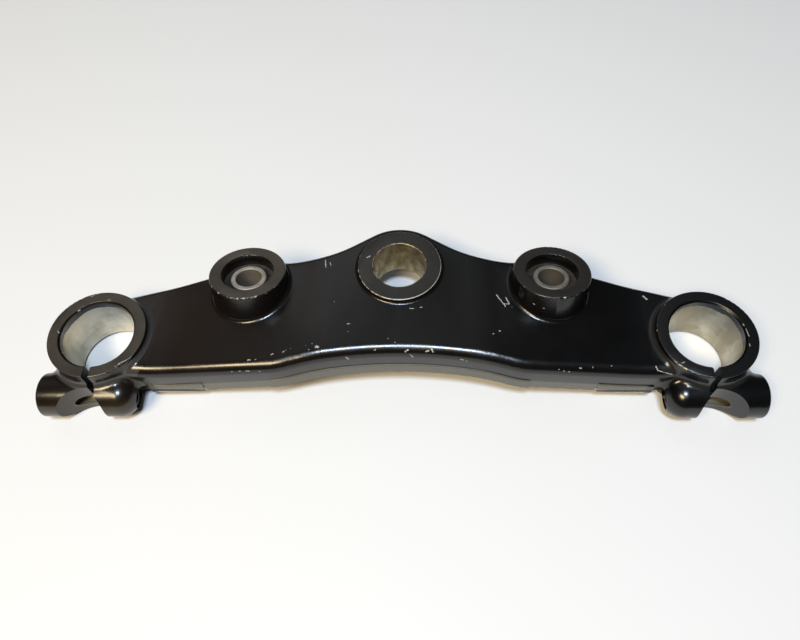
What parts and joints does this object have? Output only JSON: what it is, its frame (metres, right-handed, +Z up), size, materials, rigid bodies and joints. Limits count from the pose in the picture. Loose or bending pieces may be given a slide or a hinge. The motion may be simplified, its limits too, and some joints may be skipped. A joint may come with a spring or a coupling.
{
  "type": "upper fork bridge",
  "caption": "Black cast fork bridge with a split clamp ring and pinch lugs at each end, a steering stem boss at the middle and rubber-bushed handlebar bosses leaning back",
  "frame": {"origin": "centre of the steering stem bore, at the seat under the stem boss", "axes": "+X across to the right fork clamp, +Y to the rear, +Z up along the stem"},
  "size_m": [0.343, 0.0949, 0.045],
  "materials": {
    "casting_paint": "satin black paint on cast aluminium, worn at the edges",
    "bush_rubber": "dull",
    "collar_steel": "turned, slightly tarnished"
  },
  "bodies": {
    "root": {"bridge_casting": "casting_paint", "bush_left": "bush_rubber", "bush_right": "bush_rubber", "collar_left": "collar_steel", "collar_right": "collar_steel"}
  },
  "joints": []
}
